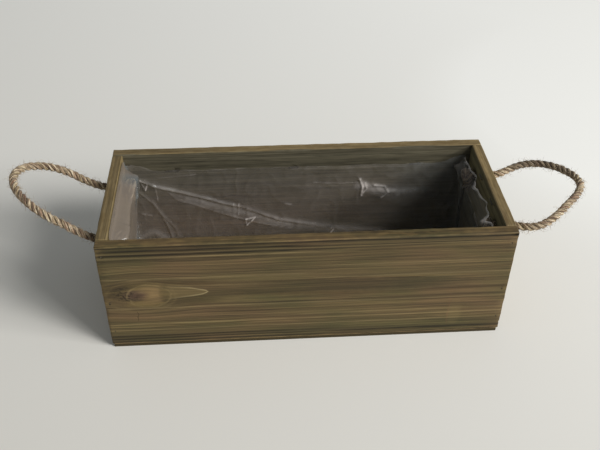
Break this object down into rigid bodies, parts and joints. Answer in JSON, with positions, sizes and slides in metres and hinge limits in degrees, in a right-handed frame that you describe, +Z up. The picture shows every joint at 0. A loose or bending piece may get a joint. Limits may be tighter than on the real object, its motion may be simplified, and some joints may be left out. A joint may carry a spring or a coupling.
{
  "type": "window box planter",
  "caption": "Rectangular window box planter of nailed stained boards with a clear film liner and a knotted rope handle at each end.",
  "frame": {"origin": "on the ground under the middle of the box, without the rope handles", "axes": "+X along the box's length to the right, +Y from front to back, +Z up"},
  "size_m": [0.5868, 0.163, 0.1538],
  "materials": {
    "stained_wood": "olive brown wood stain on sawn softwood, dull",
    "raw_wood": "thin unstained board, dull",
    "clear_film": "clear creased polyethylene film, glossy",
    "jute_rope": "three-strand jute rope, hairy",
    "brad_steel": "dull coated brad wire",
    "staple_steel": "galvanised wire"
  },
  "bodies": {
    "planter": {"front_board": "stained_wood", "back_board": "stained_wood", "left_end_board": "stained_wood", "right_end_board": "stained_wood", "bottom_board": "raw_wood", "liner_film": "clear_film", "left_back_knot": "jute_rope", "left_front_knot": "jute_rope", "right_back_knot": "jute_rope", "right_front_knot": "jute_rope", "front_left_brads": "brad_steel", "front_right_brads": "brad_steel", "back_left_brads": "brad_steel", "back_right_brads": "brad_steel", "front_bottom_brads": "brad_steel", "back_bottom_brads": "brad_steel", "left_bottom_brads": "brad_steel", "right_bottom_brads": "brad_steel", "front_staples": "staple_steel", "back_staples": "staple_steel", "left_staples": "staple_steel", "right_staples": "staple_steel"},
    "left_handle": {"left_handle_rope": "jute_rope"},
    "right_handle": {"right_handle_rope": "jute_rope"}
  },
  "joints": [
    {"name": "left_handle_swing", "type": "hinge", "parent": "planter", "child": "left_handle", "pos_m": [-0.2043, 0, 0.112], "axis": [0, 1, 0], "range_deg": [-105, 55]},
    {"name": "right_handle_swing", "type": "hinge", "parent": "planter", "child": "right_handle", "pos_m": [0.2043, 0, 0.112], "axis": [0, -1, 0], "range_deg": [-88, 72]}
  ]
}
